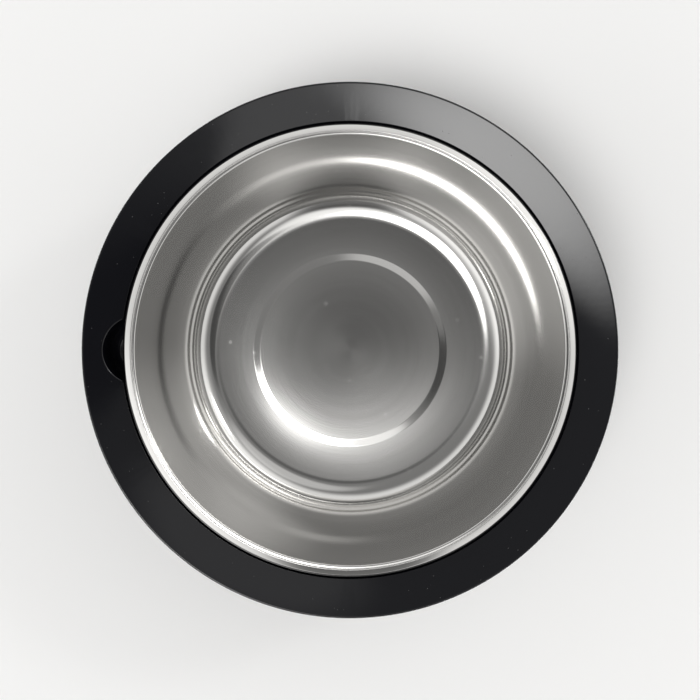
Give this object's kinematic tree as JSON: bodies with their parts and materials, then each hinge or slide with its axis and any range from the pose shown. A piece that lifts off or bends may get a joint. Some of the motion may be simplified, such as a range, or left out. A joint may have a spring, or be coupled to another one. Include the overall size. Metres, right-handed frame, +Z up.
{
  "type": "weighted dog bowl",
  "caption": "Heavy round dog bowl: a glossy black plastic base with a rising brim, finger scoop and hidden iron ballast, holding a lift-out stainless steel bowl with a rolled rim.",
  "frame": {"origin": "centre of the surface under the feet, on the axis of the bowl", "axes": "+Z up along the bowl's axis, -X towards the finger scoop"},
  "size_m": [0.2564, 0.2564, 0.0847],
  "materials": {
    "gloss_black_plastic": "high gloss moulded black with satin well floor",
    "matte_black_plastic": "fine spark-textured matte",
    "black_rubber": "matte",
    "ballast_iron": "raw casting with dark primer",
    "screw_steel": "zinc plated",
    "stainless_steel": "polished stainless with fine spinning lines"
  },
  "bodies": {
    "base": {"base_shell": "gloss_black_plastic", "bottom_cover": "matte_black_plastic", "cover_seal": "black_rubber", "ballast_ring": "ballast_iron", "ballast_pad_1": "black_rubber", "ballast_pad_2": "black_rubber", "ballast_pad_3": "black_rubber", "ballast_pad_4": "black_rubber", "ballast_pad_5": "black_rubber", "ballast_pad_6": "black_rubber", "cover_screw_1": "screw_steel", "cover_screw_2": "screw_steel", "cover_screw_3": "screw_steel", "cover_screw_4": "screw_steel", "cover_screw_5": "screw_steel", "cover_screw_6": "screw_steel", "foot_1": "black_rubber", "foot_2": "black_rubber", "foot_3": "black_rubber", "foot_4": "black_rubber", "foot_5": "black_rubber", "foot_6": "black_rubber"},
    "bowl": {"steel_bowl": "stainless_steel"}
  },
  "joints": [
    {"name": "bowl_lift", "type": "slide", "parent": "base", "child": "bowl", "axis": [0, 0, 1], "range_m": [0, 0.15]}
  ]
}
